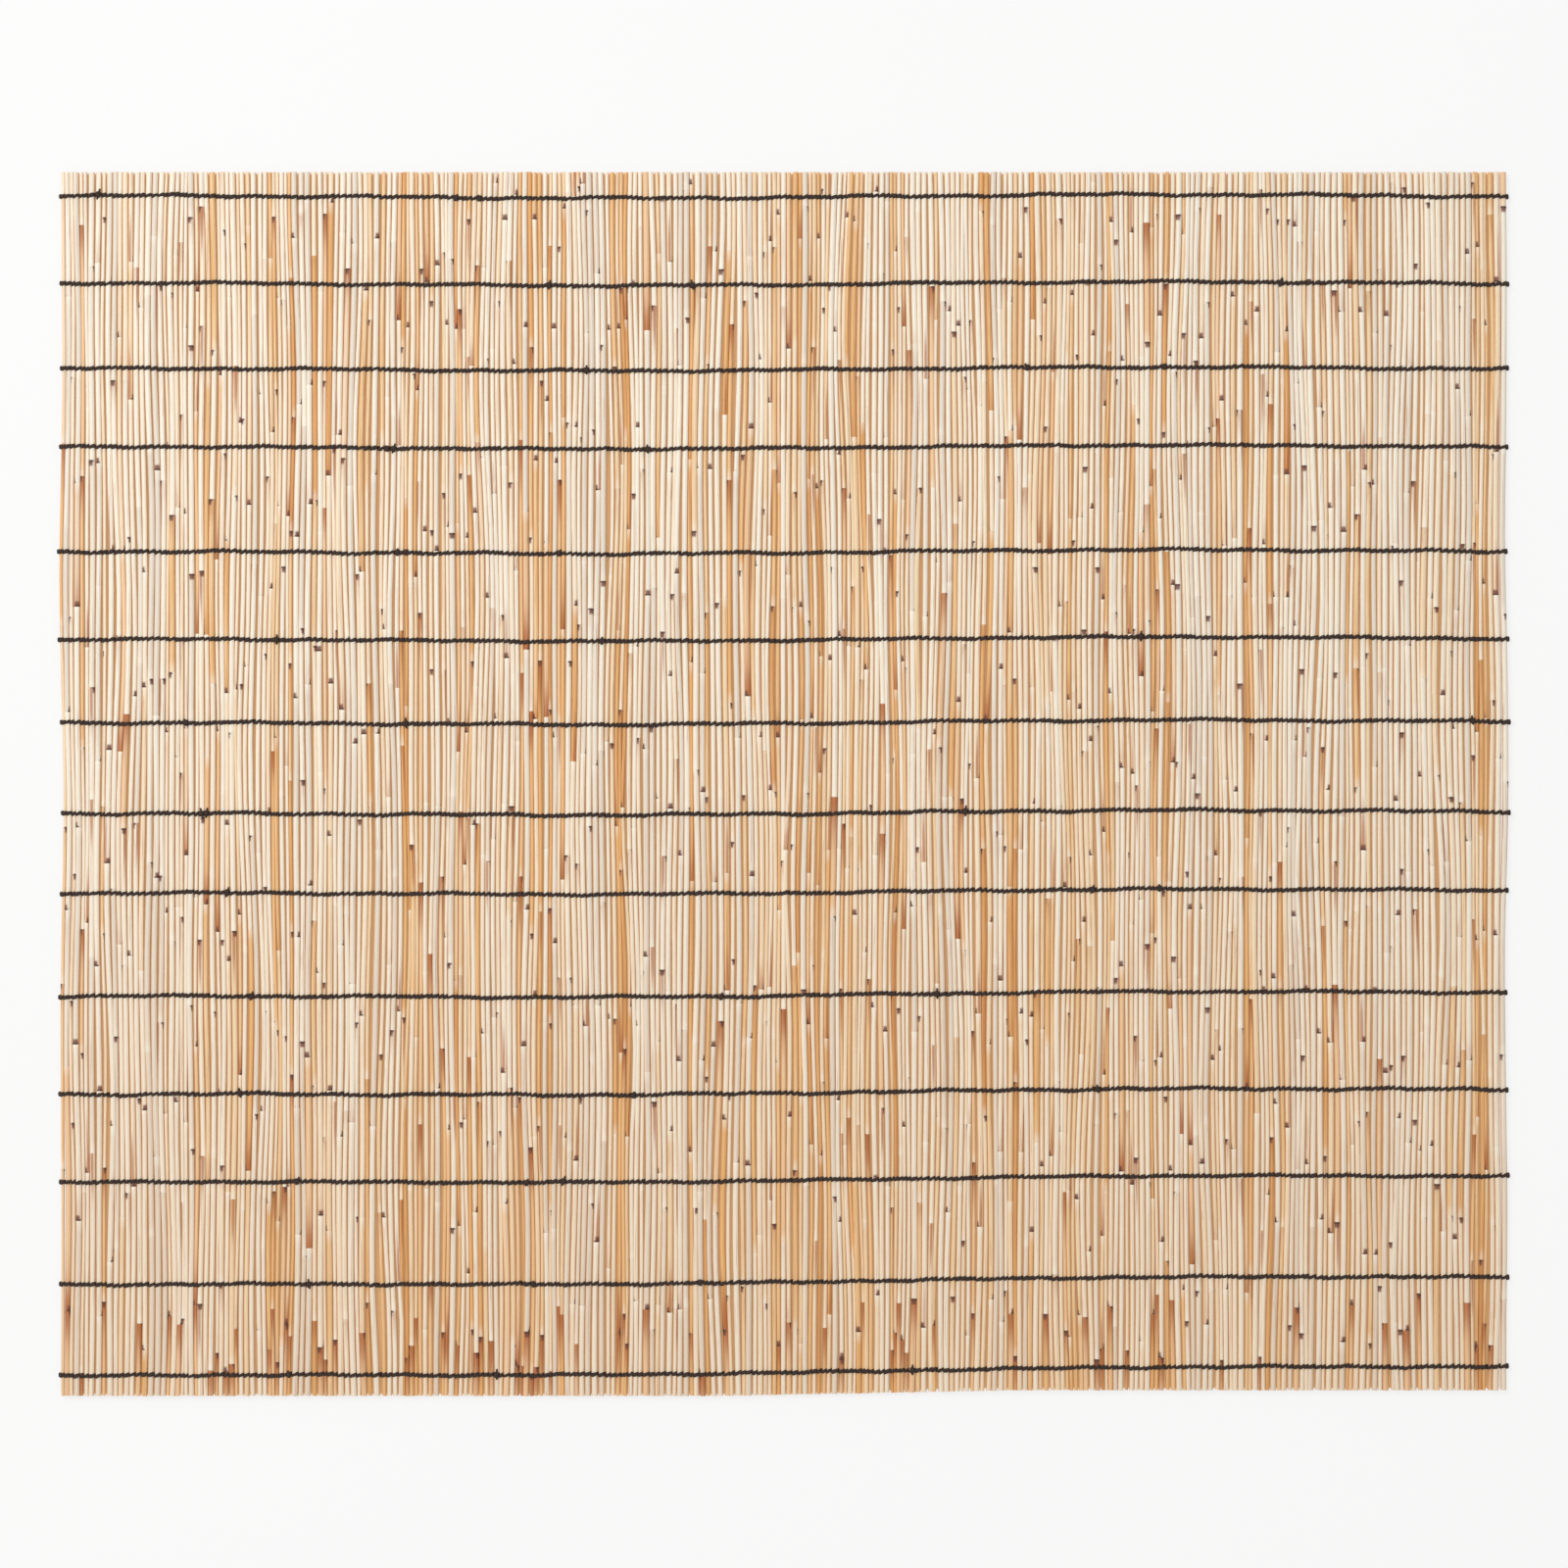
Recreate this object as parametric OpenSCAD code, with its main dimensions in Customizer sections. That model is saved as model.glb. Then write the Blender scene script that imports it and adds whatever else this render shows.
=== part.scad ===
// Reed screening: a flat mat of peeled reeds bound side by side by rows of
// twine. The reeds run along Y, the rows of twine along X and the face is +Z.
// The origin is at the middle of the underside.

/* [Screen] */
// Width of the mat across the reeds, from edge reed to edge reed
screen_w = 1417; // [400:1:1600]
// Height of the mat along the reeds
screen_h = 1200; // [800:10:1500]

/* [Reeds] */
// Mean distance between the centres of neighbouring reeds
reed_pitch = 5.1; // [4.8:0.1:7]
// Narrowest gap between neighbouring reeds, which the twine passes through
gap_min = 0.5; // [0.4:0.05:1]
// How much wider the widest gap is than the narrowest
gap_extra = 1.6; // [0:0.1:3]
// How far a reed's diameter strays from the mean, as a share of it
reed_spread = 0.34; // [0:0.01:0.4]
// Difference in diameter between a reed's butt and its tip
reed_taper = 0.4; // [0:0.05:0.6]
// Wall of a reed at its cut ends, as a share of its radius
wall_share = 0.3; // [0.2:0.01:0.45]
// Shortest open length inside a cut end, up to the first joint of the reed
hollow_min = 15; // [5:1:40]
// Longest open length inside a cut end
hollow_max = 90; // [50:5:120]
// Most that a cut end stands back from the edge of the mat
end_uneven = 0.5; // [0:0.1:5]
// How much higher the foot is cut in the right half of the mat
foot_rise = 5.5; // [0:0.5:10]
// Seed of the reeds' sizes
reed_seed = 11; // [1:1:99]

/* [Twine] */
// Distance from the edge of the mat to the first and last row of twine
row_margin = 24; // [15:1:40]
// Mean distance between rows of twine
row_pitch = 88.6; // [80:0.2:140]
// Width of a row of twine, measured along the reeds
twine_w = 4.2; // [2:0.1:5]
// Thickness of the twine where it crosses a reed
twine_t = 1.5; // [0.5:0.1:2]
// Clearance between the twine and the reed that it goes round
twine_clear = 0.1; // [0.05:0.01:0.15]

/* [Hidden] */
row_count = floor((screen_h - 2 * row_margin) / row_pitch) + 1;
row_step = (screen_h - 2 * row_margin) / (row_count - 1);
reed_count = floor(screen_w / reed_pitch);
reeds_in_group = 20;
reed_groups = ceil(reed_count / reeds_in_group);

$fn = 72;

// How far each row has drifted from an even spacing, as rows tied by hand do
row_drift = [0, 3, 8, 20, 6, 9, 16, 16, 27, 15, 8, 11, 0, 2];

// Most gaps are near the narrowest, and a few are wide
gap = [for (u = rands(0, 1, reed_count - 1, reed_seed + 5)) gap_min + gap_extra * pow(u, 5)];

// The reeds fill the width that the gaps leave, less the butts' extra radius
taper_r = reed_taper / 4;
reeds_w = screen_w - 2 * taper_r - total(gap);
size_share = [for (u = rands(-1, 1, reed_count, reed_seed)) 1 + reed_spread * u];
reed_r = [for (s = size_share) s * reeds_w / total(size_share) / 2];
reed_x = centres(reed_r);

hollow_foot = rands(hollow_min, hollow_max, reed_count, reed_seed + 1);
hollow_head = rands(hollow_min, hollow_max, reed_count, reed_seed + 2);
cut_foot = rands(0, end_uneven, reed_count, reed_seed + 3);
cut_head = rands(0, end_uneven, reed_count, reed_seed + 4);
// The foot edge starts to rise just left of the middle and then runs level
rise_start = -screen_w / 24;
rise_run = screen_w / 5;

// A row of twine is as thick as the thickest reed with twine on both sides
row_t = 2 * (max(reed_r) + taper_r + twine_clear + twine_t);
row_w = screen_w + 2 * (twine_clear + twine_t);
// Height of every reed's axis, with the twine's underside at z = 0
axis_z = row_t / 2;

function group_name(kind, n) = str(kind, n < 10 ? "_0" : "_", n);

function total(values) = values * [for (v = values) 1];

// Centres of reeds laid side by side, with the middle of the mat at x = 0
function centres(radii) = [
    for (
        i = 0, x = taper_r - screen_w / 2 + radii[0];
        i < len(radii);
        x = i + 1 < len(radii) ? x + radii[i] + gap[i] + radii[i + 1] : x, i = i + 1
    ) x
];

// Butts and tips lie alternately, which keeps the mat square
function lie(i) = i % 2 == 0 ? 1 : -1;

// Radius of reed i at a distance y from the middle of the mat
function reed_radius(i, y) = reed_r[i] + lie(i) * taper_r * 2 * y / screen_h;

// Every fifth reed is cut at the very edge, and the others just short of it
function short_by(list, i) = i % 5 == 0 ? 0 : list[i];

// Height of the foot edge at x, above its level on the left
function rise(x) = foot_rise * min(1, max(0, (x - rise_start) / rise_run));

// The last row keeps to its margin, however many rows there are
function drift(r) = r == row_count ? 0 : row_drift[(r - 1) % len(row_drift)];

// Middle of a row of twine, counted from the head of the mat
function row_y(r) = screen_h / 2 - row_margin - (r - 1) * row_step + drift(r);

// One reed: a tapering stalk along Y, open at both cut ends
module reed(i) {
    foot = -screen_h / 2 + short_by(cut_foot, i) + rise(reed_x[i]);
    head = screen_h / 2 - short_by(cut_head, i);
    bore = 1 - wall_share;
    foot_floor = foot + hollow_foot[i];
    head_floor = head - hollow_head[i];
    translate([reed_x[i], 0, axis_z])
        rotate([-90, 0, 0])
            rotate_extrude()
                polygon([
                    [0, foot_floor],
                    [bore * reed_radius(i, foot_floor), foot_floor],
                    [bore * reed_radius(i, foot), foot],
                    [reed_radius(i, foot), foot],
                    [reed_radius(i, head), head],
                    [bore * reed_radius(i, head), head],
                    [bore * reed_radius(i, head_floor), head_floor],
                    [0, head_floor],
                ]);
}

// A group of neighbouring reeds, which don't touch
module reeds(g) {
    first = (g - 1) * reeds_in_group;
    last = min(first + reeds_in_group, reed_count) - 1;
    color("#dcc39a")
        for (i = [first : last])
            reed(i);
}

// Outline of a row of twine, seen along the reeds: a strip with round ends
// where the twine turns about the edge reeds, and an eye for every reed
module twine_outline(y) {
    difference() {
        union() {
            square([row_w - row_t, row_t], center = true);
            for (side = [-1, 1])
                translate([side * (row_w - row_t) / 2, 0])
                    circle(d = row_t);
        }
        for (i = [0 : reed_count - 1])
            translate([reed_x[i], 0])
                circle(r = reed_radius(i, y) + twine_clear);
    }
}

// One row of twine, which crosses from face to back in every gap
module twine(r) {
    y = row_y(r);
    color("#2b211b")
        translate([0, y + twine_w / 2, axis_z])
            rotate([90, 0, 0])
                linear_extrude(twine_w)
                    twine_outline(y);
}

for (g = [1 : reed_groups])
    reeds(g);
for (r = [1 : row_count])
    twine(r);
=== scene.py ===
import math
import random

import bmesh
import bpy
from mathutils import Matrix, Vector


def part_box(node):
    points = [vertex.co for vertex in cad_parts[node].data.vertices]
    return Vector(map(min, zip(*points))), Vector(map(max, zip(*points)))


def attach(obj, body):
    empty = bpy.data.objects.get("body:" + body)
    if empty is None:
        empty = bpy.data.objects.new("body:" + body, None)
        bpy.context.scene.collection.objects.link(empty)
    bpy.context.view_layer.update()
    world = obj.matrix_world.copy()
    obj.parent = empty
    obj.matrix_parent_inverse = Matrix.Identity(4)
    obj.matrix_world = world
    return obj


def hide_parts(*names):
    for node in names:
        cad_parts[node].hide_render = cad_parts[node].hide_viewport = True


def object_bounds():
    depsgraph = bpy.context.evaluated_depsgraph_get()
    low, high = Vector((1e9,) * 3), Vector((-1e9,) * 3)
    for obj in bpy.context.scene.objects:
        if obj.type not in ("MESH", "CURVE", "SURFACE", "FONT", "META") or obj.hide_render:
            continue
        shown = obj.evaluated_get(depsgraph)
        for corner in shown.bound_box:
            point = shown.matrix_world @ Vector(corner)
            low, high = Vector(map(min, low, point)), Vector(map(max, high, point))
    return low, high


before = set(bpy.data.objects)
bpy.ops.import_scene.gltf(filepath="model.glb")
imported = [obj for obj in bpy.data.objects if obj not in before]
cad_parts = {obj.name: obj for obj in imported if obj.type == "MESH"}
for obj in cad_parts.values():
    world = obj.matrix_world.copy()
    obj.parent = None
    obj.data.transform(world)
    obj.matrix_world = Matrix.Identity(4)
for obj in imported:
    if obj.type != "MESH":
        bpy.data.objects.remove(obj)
cad_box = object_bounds()


# The reeds: peeled stalks of common reed, laid side by side with butts and tips in turn.
# Each is a thin tube with a ridge and a scar at every joint, cut square at head and foot.
# Sun and handling leave the faces cream and some stalks brown near the foot; the amber sides are
# painted shade, standing in for the dim warm light between the reeds.
mm = 0.001
STALK_SIDES = 10
RING_SPACING = 40 * mm
SHARP_EDGE = 1.0
SAME_SPOT = 0.001 * mm
# The bore's share of a reed's radius, and how far its wall stands out past the CAD solid's
BORE = 0.7
PLUMP = 0.16 * mm
# Joints lie this far apart, and the lowest one within this share of the widest spacing
JOINT_SPACING = (110 * mm, 280 * mm)
FIRST_JOINT = (0.15, 1)
# The lowest joint of a browned foot lies this far up, and none lies closer to the head than this
BROWNED_JOINT = (14 * mm, 95 * mm)
JOINT_CLEAR = 8 * mm
# The nearest joint that was cut away lies this far past each end
HIDDEN_JOINT = 0.1
# Rise of a joint's ridge above the stalk, as (place along the stalk, rise) in millimetres
RIDGE = [(-3.5, 0.0), (-0.6, 0.22), (0.2, -0.05), (0.9, 0.12), (2.8, 0.0)]
# Waves that neighbours share, as (length across, length along, size), and a reed's own waves
DRIFT = [(0.23, 0.62, 2.1 * mm), (0.09, 0.41, 1.2 * mm), (0.047, 0.29, 0.6 * mm)]
SWAY = [(0.9, 0.6 * mm), (0.34, 0.45 * mm), (0.19, 0.2 * mm)]
LIFT = 0.35 * mm
LIFT_WAVE = (0.15, 0.5)
# Share of reeds with a bow, its size in millimetres, its reach, how it ends and how far it rises
BOWED = 0.14
BOW_SIZE = (1, 2.4)
BOW_REACH = (0.07, 0.2)
BOW_FALL = 3
BOW_RISE = 0.5
# A reed of the usual girth takes any tone, a thicker one is paler and a thinner one browner
USUAL_GIRTH = 4.4 * mm
PALING = 3
STAINED_FEET = 0.21
STAINED_LENGTHS = 0.08
FOOT_STAIN = (0.4, 1)
# Each reed has a strip of its group's baked picture, with this share left free at both sides
STRIP_MARGIN = 0.04
# What the material reads: a face's tones and stain, and each corner's place on its reed
FACE_LAYERS = ("stalk", "length", "stain")
UV_LAYERS = ("along", "beyond", "OFBake")


def stalks_of(node):
    """The reeds of one group, as the frame has them, from left to right."""
    bm = bmesh.new()
    bm.from_mesh(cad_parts[node].data)
    bmesh.ops.remove_doubles(bm, verts=bm.verts, dist=SAME_SPOT)
    left = set(bm.verts)
    found = []
    while left:
        island = set()
        reached = [left.pop()]
        while reached:
            v = reached.pop()
            island.add(v)
            near = {edge.other_vert(v) for edge in v.link_edges} & left
            left -= near
            reached += near
        ys = sorted(v.co.y for v in island)
        stalk = {"foot": ys[0], "head": ys[-1]}
        inner = [y for y in ys if ys[0] + mm < y < ys[-1] - mm]
        stalk["foot_floor"], stalk["head_floor"] = inner[0], inner[-1]
        for end in ("foot", "head"):
            rim = [v.co for v in island if abs(v.co.y - stalk[end]) < 10 * SAME_SPOT]
            middle = sum(rim, Vector()) / len(rim)
            stalk["x"], stalk["z"] = middle.x, middle.z
            stalk[end + "_r"] = max((co - middle).length for co in rim)
        found.append(stalk)
    bm.free()
    return sorted(found, key=lambda stalk: stalk["x"])


def grow(stalk, seed):
    """Adds what chance gives a reed: joints, tones, stains, sway and bow."""
    chance = random.Random(seed)
    paling = ((stalk["foot_r"] + stalk["head_r"]) / USUAL_GIRTH) ** PALING
    stalk["grows_up"] = stalk["foot_r"] > stalk["head_r"]
    stained_foot = chance.random() * paling < STAINED_FEET
    if stained_foot:
        y = stalk["foot"] + chance.uniform(*BROWNED_JOINT)
    else:
        y = stalk["foot"] + chance.uniform(*FIRST_JOINT) * JOINT_SPACING[1]
    stalk["joints"] = []
    while y < stalk["head"] - JOINT_CLEAR:
        stalk["joints"].append(y)
        y += chance.uniform(*JOINT_SPACING)
    stalk["tone"] = chance.random() ** paling
    stalk["lengths"] = [chance.random() ** paling for _ in range(len(stalk["joints"]) + 1)]
    stalk["stains"] = [
        chance.random() * (chance.random() * paling < STAINED_LENGTHS) for _ in stalk["lengths"]
    ]
    if stained_foot:
        stalk["stains"][0] = -chance.uniform(*FOOT_STAIN)
    stalk["sway"] = [
        (wave, size * chance.uniform(-1, 1), chance.uniform(0, math.tau))
        for wave, size in SWAY
    ]
    stalk["lift"] = (chance.uniform(*LIFT_WAVE), chance.uniform(0, math.tau))
    size = chance.choice((-1, 1)) * chance.uniform(*BOW_SIZE) * mm * (chance.random() < BOWED)
    middle = chance.uniform(stalk["foot"], stalk["head"])
    stalk["bow"] = (middle, chance.uniform(*BOW_REACH), size)


def aside(stalk, y):
    """How far a reed strays from its straight line at y: with its neighbours and alone."""
    x = sum(
        size * math.sin(stalk["x"] * math.tau / across) * math.sin((y + stalk["x"]) * math.tau / up)
        for across, up, size in DRIFT
    )
    x += sum(size * math.sin(y * math.tau / wave + turn) for wave, size, turn in stalk["sway"])
    wave, turn = stalk["lift"]
    middle, reach, size = stalk["bow"]
    swell = math.exp(-(((y - middle) / reach) ** 2) * BOW_FALL)
    z = LIFT * math.sin(y * math.tau / wave + turn) + abs(size) * swell * BOW_RISE
    return Vector((x + size * swell, 0, z))


def radius_at(stalk, y):
    """A reed's outer radius at y, between the radii of its two ends."""
    share = (y - stalk["foot"]) / (stalk["head"] - stalk["foot"])
    return PLUMP + stalk["foot_r"] + (stalk["head_r"] - stalk["foot_r"]) * share


def stalk_outline(stalk):
    """(radius, y) from the floor of the foot's bore, along the outside, to the head's."""
    foot, head = stalk["foot"], stalk["head"]
    marks = [(foot, 0), (head, 0)]
    for joint in stalk["joints"]:
        marks += [(joint + along * mm, out * mm) for along, out in RIDGE]
    marks.sort()
    outside = [marks[0]]
    for mark in marks[1:]:
        start = outside[-1][0]
        span = mark[0] - start
        steps = max(1, round(span / RING_SPACING))
        outside += [(start + span * k / steps, 0) for k in range(1, steps)]
        outside.append(mark)
    wall = [(radius_at(stalk, y) + out, y) for y, out in outside]
    foot_bore = BORE * stalk["foot_r"]
    head_bore = BORE * stalk["head_r"]
    return [
        (0, stalk["foot_floor"]),
        (foot_bore, stalk["foot_floor"]),
        (foot_bore, foot),
        *wall,
        (head_bore, head),
        (head_bore, stalk["head_floor"]),
        (0, stalk["head_floor"]),
    ]


def add_stalk(bm, stalk, column, columns):
    """Spins one reed's outline about its axis and writes what its material reads."""
    run = bm.verts.layers.float["run"]
    tone, length, stain = (bm.faces.layers.float[name] for name in FACE_LAYERS)
    along, beyond, unrolled = (bm.loops.layers.uv[name] for name in UV_LAYERS)
    before = set(bm.verts)
    chain = []
    travelled = 0
    for radius, y in stalk_outline(stalk):
        v = bm.verts.new((stalk["x"] - radius, y, stalk["z"]))
        travelled += (v.co - chain[-1].co).length if chain else 0
        v[run] = travelled
        chain.append(v)
    edges = [bm.edges.new(pair) for pair in zip(chain, chain[1:])]
    bmesh.ops.spin(
        bm,
        geom=chain + edges,
        cent=(stalk["x"], 0, stalk["z"]),
        axis=(0, 1, 0),
        angle=math.tau,
        steps=STALK_SIDES,
        use_merge=True,
    )
    made = [v for v in bm.verts if v not in before]
    bmesh.ops.remove_doubles(bm, verts=made, dist=SAME_SPOT)
    made = [v for v in bm.verts if v not in before]
    joints = [stalk["foot"] - HIDDEN_JOINT, *stalk["joints"], stalk["head"] + HIDDEN_JOINT]
    for face in {face for v in made for face in v.link_faces}:
        face.smooth = True
        middle = face.calc_center_median()
        part = sum(middle.y > joint for joint in stalk["joints"])
        face[tone] = stalk["tone"]
        face[length] = stalk["lengths"][part]
        face[stain] = abs(stalk["stains"][part])
        upward = stalk["grows_up"] and stalk["stains"][part] >= 0
        turned = math.atan2(middle.z - stalk["z"], middle.x - stalk["x"]) / math.tau
        for loop in face.loops:
            co = loop.vert.co
            off = math.hypot(co.z - stalk["z"], co.x - stalk["x"])
            turn = math.atan2(co.z - stalk["z"], co.x - stalk["x"]) / math.tau
            turn = turned + (turn - turned + 0.5) % 1 - 0.5 if off > 10 * SAME_SPOT else turned
            near = co.y - joints[part]
            far = joints[part + 1] - co.y
            loop[along].uv = (turn, near if upward else far)
            loop[beyond].uv = (far if upward else near, off)
            around = column + STRIP_MARGIN + (1 - 2 * STRIP_MARGIN) * (turned % 1 + turn - turned)
            loop[unrolled].uv = (around / columns, loop.vert[run] / travelled)
    for v in made:
        v.co += aside(stalk, v.co.y)


stalks = []
stalk_pieces = []
for node in sorted(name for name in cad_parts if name.startswith("reeds_")):
    group = stalks_of(node)
    bm = bmesh.new()
    bm.verts.layers.float.new("run")
    for name in FACE_LAYERS:
        bm.faces.layers.float.new(name)
    for name in UV_LAYERS:
        bm.loops.layers.uv.new(name)
    for column, stalk in enumerate(group):
        grow(stalk, len(stalks))
        stalks.append(stalk)
        add_stalk(bm, stalk, column, len(group))
    bmesh.ops.recalc_face_normals(bm, faces=bm.faces)
    for edge in bm.edges:
        edge.smooth = edge.calc_face_angle(0) < SHARP_EDGE
    mesh = bpy.data.meshes.new("peeled_" + node)
    bm.to_mesh(mesh)
    bm.free()
    piece = bpy.data.objects.new("peeled_" + node, mesh)
    bpy.context.scene.collection.objects.link(piece)
    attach(piece, "root")
    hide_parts(node)
    stalk_pieces.append(piece)


class Level:
    """One socket's value, so that shader sums are written as Python expressions."""

    def __init__(self, tree, socket):
        self.tree, self.socket = tree, socket

    def node(self, kind, settings=None, inputs=None, output=0):
        """Adds a node of this kind: its settings or a ramp's stops, then its values or links."""
        made = self.tree.nodes.new(kind)
        for name, value in (settings or {}).items():
            if name == "stops":
                stops = made.color_ramp.elements
                for k, (place, colour) in enumerate(value):
                    stop = stops[k] if k < len(stops) else stops.new(place)
                    stop.position = place
                    stop.color = colour
            else:
                setattr(made, name, value)
        for name, value in (inputs or {}).items():
            if isinstance(value, Level):
                self.tree.links.new(value.socket, made.inputs[name])
            else:
                made.inputs[name].default_value = value
        return Level(self.tree, made.outputs[output])

    def maths(self, operation, first, second=0.0):
        """One Math node, for the operators below."""
        return self.node("ShaderNodeMath", {"operation": operation}, {0: first, 1: second})

    def __add__(self, other):
        return self.maths("ADD", self, other)

    def __sub__(self, other):
        return self.maths("SUBTRACT", self, other)

    def __rsub__(self, other):
        return self.maths("SUBTRACT", other, self)

    def __mul__(self, other):
        return self.maths("MULTIPLY", self, other)

    __radd__ = __add__
    __rmul__ = __mul__

    def most(self, other):
        """The greater of this value and another."""
        return self.maths("MAXIMUM", self, other)

    def sine(self):
        """The sine of this many whole turns."""
        return self.maths("SINE", self * math.tau)

    def cosine(self):
        """The cosine of this many whole turns."""
        return self.maths("COSINE", self * math.tau)

    def part(self, axis):
        """One of a vector's three numbers: X, Y or Z."""
        return self.node("ShaderNodeSeparateXYZ", {}, {0: self}, output=axis)

    def fade(self, start, end):
        """0 where the value is at start, 1 where it is at end, and smooth between."""
        return self.node(
            "ShaderNodeMapRange",
            {"interpolation_type": "SMOOTHSTEP"},
            {"Value": self, "From Min": start, "From Max": end},
        )

    def blend(self, first, second):
        """first where this value is 0 and second where it is 1, as colours."""
        return self.node(
            "ShaderNodeMix", {"data_type": "RGBA"}, {0: self, 6: first, 7: second}, output=2
        )

    def grain(self, scale, detail, roughness=0.5):
        """Noise over a place, with so many spots to the metre in X, Y and Z."""
        spread = self.node("ShaderNodeVectorMath", {"operation": "MULTIPLY"}, {0: self, 1: scale})
        return self.node(
            "ShaderNodeTexNoise",
            {},
            {"Vector": spread, "Scale": 1.0, "Detail": detail, "Roughness": roughness},
        )


def shade(red, green, blue):
    """A colour given as it looks on a screen, in the linear values that a shader takes."""
    channels = [c / 255 for c in (red, green, blue)]
    return [c / 12.92 if c <= 0.04045 else ((c + 0.055) / 1.055) ** 2.4 for c in channels] + [1.0]


def new_finish(name):
    """A material, a Level that adds nodes to its tree, and its Principled shader."""
    material = bpy.data.materials.new(name)
    material.use_nodes = True
    shader = material.node_tree.nodes["Principled BSDF"]
    return material, Level(material.node_tree, None), shader


def feed(tools, shader, **levels):
    """Links values to a shader's sockets, named with _ for a space."""
    for name, level in levels.items():
        tools.tree.links.new(level.socket, shader.inputs[name.replace("_", " ")])


# Colours of peeled reed, from its palest face to its darkest scar, with painted shade for its sides
# and towards its foot
BLEACHED = shade(250, 242, 228)
ASHY = shade(226, 215, 198)
CREAM = shade(240, 232, 215)
IVORY = shade(243, 234, 215)
BLUSH = shade(242, 224, 196)
STRAW = shade(237, 210, 170)
HONEY = shade(228, 180, 120)
AMBER = shade(212, 152, 88)
TAN = shade(188, 116, 58)
# Painted shade: the amber of a reed's sides, where the light among the reeds is dim and warm
PAINTED_SIDE_SHADE = shade(236, 178, 118)
# Painted shade: the darkening of the reeds towards the foot
PAINTED_FOOT_SHADE = shade(226, 172, 106)
STREAK = shade(216, 166, 110)
STAINED = shade(230, 174, 108)
BROWNED = shade(170, 92, 46)
RUSSET = shade(174, 98, 40)
BUD = shade(106, 50, 33)
SCAR = shade(68, 34, 25)
TONES = [
    (0.0, ASHY),
    (0.16, CREAM),
    (0.42, IVORY),
    (0.62, BLUSH),
    (0.74, STRAW),
    (0.83, HONEY),
    (0.91, AMBER),
    (1.0, TAN),
]
# Spots to the metre across the reeds, along them and up through the mat
BLOTCHES = (700, 11, 700)
FIBRES = (4200, 40, 4200)
CLOUDS = (13, 2.4, 13)
HAIRLINES = (1500, 9, 1500)
# Distances from a joint at which a mark starts to show and is full
SHEATH_REACH = (90 * mm, 50 * mm)
TAIL_REACH = (34 * mm, 0)
BUD_REACH = (7 * mm, 4 * mm)
RING_REACH = (2.4 * mm, 1.3 * mm)
BLEACHED_REACH = (14 * mm, 2 * mm)
# Distances from the middle of the mat between which the reeds darken towards the foot: painted
# shade, for the light falling off towards the foot
PAINTED_FOOT_SHADE_REACH = (0.25, -0.6)
# Turns of the sheath's edge and of the bud about a reed, for each unit of its tone
SHEATH_TURNS = 5.3
BUD_TURNS = 3.7

peeled, tools, shader = new_finish("peeled_reed")
place = tools.node("ShaderNodeTexCoord", output="Object")
stalk_tone, length_tone, stain = (
    tools.node("ShaderNodeAttribute", {"attribute_name": name}, output="Fac") for name in FACE_LAYERS
)
along = tools.node("ShaderNodeUVMap", {"uv_map": "along"})
turn = along.part("X")
near = along.part("Y")
far = tools.node("ShaderNodeUVMap", {"uv_map": "beyond"}).part("X")
blotch = place.grain(BLOTCHES, 3.0)
fibre = place.grain(FIBRES, 3.0, 0.6)
cloud = place.grain(CLOUDS, 2.0)
hairline = place.grain(HAIRLINES, 1.0).fade(0.66, 0.7)

# Where each mark shows
browner = stalk_tone * 0.6 + length_tone * 0.42 + blotch * 0.3 + cloud * 0.34 - 0.405
# Painted shade: a reed's sides turn amber by their angle from its top, standing in for the shade
# between reeds
shaded = 1 - (turn.sine() + (blotch - 0.5) * 0.5).fade(0.2, 0.74)
streak = fibre.fade(0.5, 0.72) * (stalk_tone * 0.3 + 0.15)
browned = stain.fade(0.05, 0.7) * (near * 7.0 + blotch * 0.7).fade(0.8, 0.2)
groove = (turn + stalk_tone * SHEATH_TURNS).cosine().fade(0.8, 0.95)
sheath = groove * (near + blotch * 0.06).fade(*SHEATH_REACH) * length_tone.fade(0.35, 0.5)
tail = near.fade(*TAIL_REACH) * (fibre + stain + length_tone * 0.35).fade(0.68, 1.0)
bud = (turn + length_tone * BUD_TURNS).cosine()
patch = near.fade(*BUD_REACH) * (bud + (fibre - 0.5) * 1.2).fade(0.4, 0.8)
ring = near.fade(*RING_REACH) * (bud * 0.7 + blotch * 1.2).fade(0.6, 1.05)

# The marks in the order in which they lie on the reed, the first two being painted shade: where, how
# strong and what colour
marks = [
    (shaded, 0.76, PAINTED_SIDE_SHADE),
    # painted shade: darker towards the foot, where the light falls off
    (place.part("Y").fade(*PAINTED_FOOT_SHADE_REACH), 0.2, PAINTED_FOOT_SHADE),
    (streak, 1.0, STREAK),
    (hairline, 0.55, RUSSET),
    (stain.fade(0, 0.6), 0.65, STAINED),
    (browned, 0.9, BROWNED),
    (sheath, 0.75, RUSSET),
    (tail, 0.7, RUSSET),
    (far.fade(*BLEACHED_REACH), 0.35, BLEACHED),
    (patch, 0.92, BUD),
    (ring, 0.9, SCAR),
]
tone = tools.node("ShaderNodeValToRGB", {"stops": TONES}, {"Fac": browner})
for mask, strength, colour in marks:
    tone = (mask * strength).blend(tone, colour)
relief = tools.node("ShaderNodeBump", {}, {"Strength": 0.35, "Distance": 0.1 * mm, "Height": fibre})
feed(tools, shader, Base_Color=tone, Roughness=0.42 + fibre * 0.25, Normal=relief)
for piece in stalk_pieces:
    piece.data.materials.append(peeled)


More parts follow.
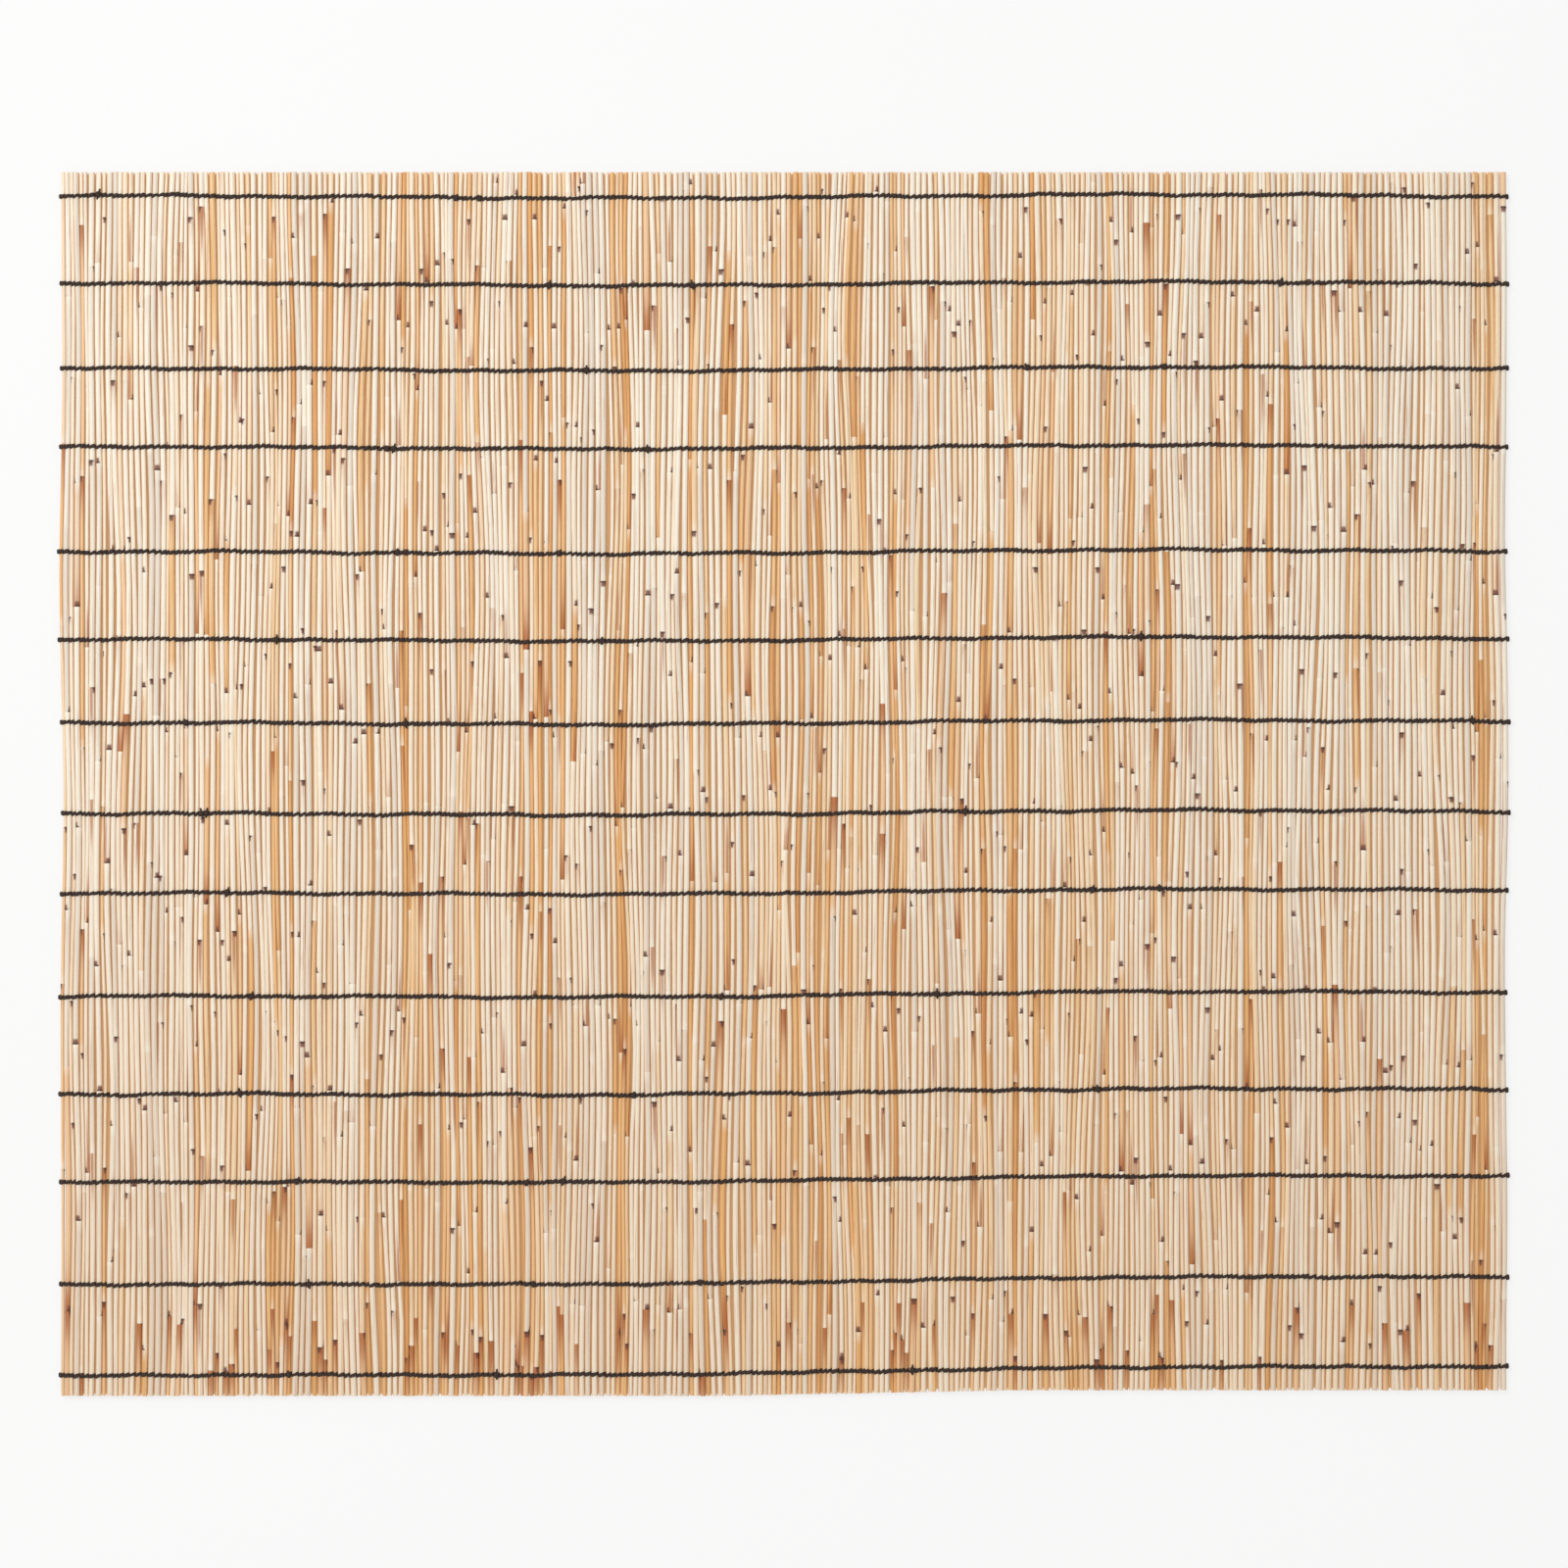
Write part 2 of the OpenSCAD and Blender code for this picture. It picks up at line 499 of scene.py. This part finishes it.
# The twine: 14 rows of two dark tarred cords, twisted half a turn in every gap between reeds.
# One cord passes over a reed while the other passes under it, and they change places in the gap.
# Both cords are knotted together past the edge reed, and the mat's weight flattens their undersides.
CORD_SIDES = 6
TWINE_SEED = 500
# A cord's radius over a reed, its share of that in a gap, and how far chance changes both
CORD_R = 2.0 * mm
CORD_SQUEEZE = 0.56
CORD_UNEVEN = 0.24
# Angles about a reed at which a cord has a point, from one gap to the next
HALF_TURN = [135, 90, 45, 0]
# How far a cord's middle lies from the row's in a gap, and how far off a reed's skin
CROSSING = 1.3 * mm
SEAT = -0.1 * mm
# Climb of the first and the last row in a metre, and the sag that all rows share
TILT_HEAD = 1.2 * mm
TILT_FOOT = 8.5 * mm
SAG = 1.5 * mm
SAG_CREST = 0.35
# A row's own waves, as (length, size)
WANDER = [(0.23, 0.7 * mm), (0.085, 0.7 * mm), (0.037, 0.35 * mm)]
# The knot at each end of a row
KNOT_R = 1.3 * mm
KNOT_LENGTH = 2.6 * mm
KNOT_TURNS = 3
KNOT_POINTS = 8
KNOT_SHARE = 0.8
# Places in a row where a new length of cord is hitched on, with the hitch in millimetres
SPLICES = 3
HITCH_TURNS = 2
HITCH_POINTS = 6
HITCH_LENGTH = 3
HITCH_REACH = 2
HITCH_RISE = 0.6
HITCH_SHARE = 0.6
TAIL_ASIDE = (-2, 2)
TAIL_ALONG = (3, 6)
TAIL_RISE = 0.4
TAIL_SHARE = 0.45


def wander_of(chance):
    """A row's own waves, with sizes and starts that chance gives."""
    return [
        (wave, size * chance.uniform(0.5, 1), chance.uniform(0, math.tau))
        for wave, size in WANDER
    ]


def row_line(row, x):
    """Height of a row at x: the rows climb to the right, more so at the foot, and all sag alike."""
    down = 0.5 - row["y"] / (cad_box[1][1] - cad_box[0][1])
    y = row["y"] + x * (TILT_HEAD + (TILT_FOOT - TILT_HEAD) * down**2)
    y += SAG * math.cos((x - SAG_CREST) * math.tau)
    y += sum(size * math.sin(x * math.tau / wave + turn) for wave, size, turn in row["wander"])
    return y


def cord_route(row, start, chance):
    """(point, share of the full thickness) along one cord, over a reed and under the next."""
    route = []
    for i, stalk in enumerate(stalks):
        up = 1 if (i + start) % 2 == 0 else -1
        y = row_line(row, stalk["x"])
        middle = Vector((stalk["x"], y, stalk["z"])) + aside(stalk, y)
        reach = radius_at(stalk, y) + SEAT
        for angle in HALF_TURN if i else [180, *HALF_TURN]:
            across = math.cos(math.radians(angle))
            over = math.sin(math.radians(angle))
            point = middle + Vector((reach * across, up * CROSSING * across, up * reach * over))
            share = CORD_SQUEEZE + (1 - CORD_SQUEEZE) * over
            route.append((point, share * (1 + CORD_UNEVEN * chance.uniform(-1, 1))))
    return route


def knot_route(row, stalk, side):
    """A few tight turns round both cords, just past an edge reed."""
    y = row_line(row, stalk["x"])
    reach = radius_at(stalk, y) + SEAT
    middle = Vector((stalk["x"] + side * reach, y, stalk["z"])) + aside(stalk, y)
    points = KNOT_POINTS * KNOT_TURNS
    route = []
    for k in range(points + 1):
        angle = math.tau * k / KNOT_POINTS
        drop = (k / points - 0.5) * KNOT_LENGTH
        point = middle + Vector((KNOT_R * math.cos(angle), drop, KNOT_R * math.sin(angle)))
        route.append((point, KNOT_SHARE))
    return route


def splice_route(row, stalk, chance):
    """A new length of cord hitched onto the row, with two short cut tails."""
    y = row_line(row, stalk["x"])
    top = radius_at(stalk, y) + SEAT
    middle = Vector((stalk["x"], y, stalk["z"] + top)) + aside(stalk, y)
    tail = Vector((chance.uniform(*TAIL_ASIDE), chance.uniform(*TAIL_ALONG), TAIL_RISE)) * mm
    route = [(middle + tail, TAIL_SHARE), (middle + tail * 0.5, HITCH_SHARE)]
    points = HITCH_POINTS * HITCH_TURNS
    for k in range(points + 1):
        angle = math.tau * k / HITCH_POINTS
        across = (k / points - 0.5) * HITCH_LENGTH
        turn = (across, HITCH_REACH * math.cos(angle), HITCH_RISE + math.sin(angle))
        route.append((middle + Vector(turn) * mm, HITCH_SHARE))
    return [*route, (middle - tail * 0.5, HITCH_SHARE), (middle - tail * 0.8, TAIL_SHARE)]


def add_cord(curve, route):
    """Draws one cord along its route, with a thickness at every point."""
    spline = curve.splines.new("POLY")
    spline.points.add(len(route) - 1)
    for spot, (point, share) in zip(spline.points, route):
        spot.co = (*point, 1)
        spot.radius = share


twine_rows = sorted(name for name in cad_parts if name.startswith("twine_"))
twine_pieces = []
for k, node in enumerate(twine_rows):
    low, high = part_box(node)
    chance = random.Random(TWINE_SEED + k)
    row = {"y": (low.y + high.y) / 2, "wander": wander_of(chance)}
    curve = bpy.data.curves.new("twisted_" + node, "CURVE")
    curve.dimensions = "3D"
    curve.bevel_depth = CORD_R
    curve.bevel_resolution = (CORD_SIDES - 4) // 2
    curve.use_fill_caps = True
    for start in (0, 1):
        add_cord(curve, cord_route(row, start, chance))
    for stalk, side in ((stalks[0], -1), (stalks[-1], 1)):
        add_cord(curve, knot_route(row, stalk, side))
    for stalk in chance.sample(stalks, SPLICES):
        add_cord(curve, splice_route(row, stalk, chance))
    drawn = bpy.data.objects.new("drawn_" + node, curve)
    bpy.context.scene.collection.objects.link(drawn)
    evaluated = drawn.evaluated_get(bpy.context.evaluated_depsgraph_get())
    mesh = bpy.data.meshes.new_from_object(evaluated)
    mesh.name = "twisted_" + node
    bpy.data.objects.remove(drawn)
    bpy.data.curves.remove(curve)
    for v in mesh.vertices:
        v.co.z = max(v.co.z, 0)
    mesh.shade_smooth()
    piece = bpy.data.objects.new("twisted_" + node, mesh)
    bpy.context.scene.collection.objects.link(piece)
    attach(piece, "root")
    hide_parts(node)
    twine_pieces.append(piece)

TAR = shade(46, 31, 24)
WORN = shade(104, 79, 59)
# Spots to the metre across the reeds, along them and up through the mat
STRANDS = (900, 2400, 1600)
FLUFF = (5000, 5000, 5000)

tarred, tools, shader = new_finish("tarred_twine")
place = tools.node("ShaderNodeTexCoord", output="Object")
strand = place.grain(STRANDS, 2.0)
fluff = place.grain(FLUFF, 3.0)
worn = (strand * 0.7 + fluff * 0.4).fade(0.58, 0.8)
relief = tools.node(
    "ShaderNodeBump", {}, {"Strength": 0.8, "Distance": 0.2 * mm, "Height": strand + fluff * 0.5}
)
tone = (worn * 0.7).blend(TAR, WORN)
feed(tools, shader, Base_Color=tone, Roughness=0.75 + fluff * 0.2, Normal=relief)
for piece in twine_pieces:
    piece.data.materials.clear()
    piece.data.materials.append(tarred)


# The studio: a wide white floor under the mat, a soft key from the upper left and a pale sky.
# Between the reeds the floor is painted, and glows, in the warm colour that light takes on among
# them: painted bounce light.
# The camera looks straight down from far away, so that the mat shows square and whole.
FLOOR = 40.0
FLOOR_DEPTH = 0.2 * mm
PAINTED_BOUNCE_FLOOR = shade(236, 190, 136)
PAINTED_BOUNCE_GLOW = shade(236, 186, 134)
WHITE_FLOOR = shade(240, 239, 238)
WHITE_GLOW = shade(252, 252, 252)
# How much of what the camera sees of the floor is glow: under the mat, where it is painted warm
# bounce light, and how much more beside it
GLOW_UNDER = 0.5
GLOW_MORE = 0.3
# Where the painted warm bounce light on the floor ends: from the middle to the sides and the head,
# and above the foot edge
SIDE_REACH = (0.695, 0.707)
HEAD_REACH = (0.598, 0.6)
FOOT_REACH = (2 * mm, 0.3 * mm)
# The foot edge steps up between these places, from the left reeds' level to the right ones'
FOOT_STEP = (-0.04, 0.21)
SKY = 0.62
KEY_PLACE = (-2.0, 1.7, 3.6)
KEY_SIZE = 2.5
KEY_ENERGY = 101
FRAME_WIDTH = 1.536
LENS = 100.0
SENSOR = 36.0


def looked_at(tools):
    """1 for rays that bring a surface to the camera, straight or by way of gloss or glass."""
    straight, gloss, glass = (
        tools.node("ShaderNodeLightPath", output=f"Is {kind} Ray")
        for kind in ("Camera", "Glossy", "Transmission")
    )
    return straight.most(gloss).most(glass)


bm = bmesh.new()
bmesh.ops.create_grid(bm, x_segments=1, y_segments=1, size=FLOOR / 2)
bmesh.ops.translate(bm, verts=bm.verts, vec=(0, 0, -FLOOR_DEPTH))
mesh = bpy.data.meshes.new("floor")
bm.to_mesh(mesh)
bm.free()
floor = bpy.data.objects.new("floor", mesh)
bpy.context.scene.collection.objects.link(floor)
paper, tools, shader = new_finish("white_floor")
spot = tools.node("ShaderNodeTexCoord", output="Object")
across = spot.part("X")
up = spot.part("Y")
foot_rise = stalks[-1]["foot"] - stalks[0]["foot"]
foot_line = across.fade(*FOOT_STEP) * foot_rise + cad_box[0][1]
beside = (across * across).fade(*(reach**2 for reach in SIDE_REACH))
clear = beside.most((up - foot_line).fade(*FOOT_REACH)).most(up.fade(*HEAD_REACH))
shader.inputs["Roughness"].default_value = 0.9
# Under the mat the floor's colour and glow are painted warm bounce light; beside it the floor is
# plain white
feed(tools, shader, Base_Color=clear.blend(PAINTED_BOUNCE_FLOOR, WHITE_FLOOR))
lit = Level(tools.tree, shader.outputs["BSDF"])
glow = tools.node("ShaderNodeEmission", {}, {"Color": clear.blend(PAINTED_BOUNCE_GLOW, WHITE_GLOW)})
seen = looked_at(tools) * (clear * GLOW_MORE + GLOW_UNDER)
mixed = tools.node("ShaderNodeMixShader", {}, {0: seen, 1: lit, 2: glow})
feed(tools, tools.tree.nodes["Material Output"], Surface=mixed)
floor.data.materials.append(paper)

world = bpy.data.worlds.new("studio")
world.use_nodes = True
bpy.context.scene.world = world
sky = world.node_tree.nodes["Background"]
sky.inputs["Color"].default_value = (1.0, 1.0, 1.0, 1.0)
air = Level(world.node_tree, None)
feed(air, sky, Strength=looked_at(air) * (1 - SKY) + SKY)

key = bpy.data.lights.new("key", "AREA")
key.shape = "DISK"
key.size = KEY_SIZE
key.energy = KEY_ENERGY
key_lamp = bpy.data.objects.new("key", key)
key_lamp.location = KEY_PLACE
key_lamp.rotation_euler = (-key_lamp.location).to_track_quat("-Z", "Y").to_euler()
bpy.context.scene.collection.objects.link(key_lamp)

lens = bpy.data.cameras.new("camera")
lens.lens = LENS
lens.sensor_width = SENSOR
camera = bpy.data.objects.new("camera", lens)
camera.location = (0, 0, FRAME_WIDTH * LENS / SENSOR + cad_box[1][2])
bpy.context.scene.collection.objects.link(camera)
bpy.context.scene.camera = camera
bpy.context.scene.view_settings.view_transform = "Standard"
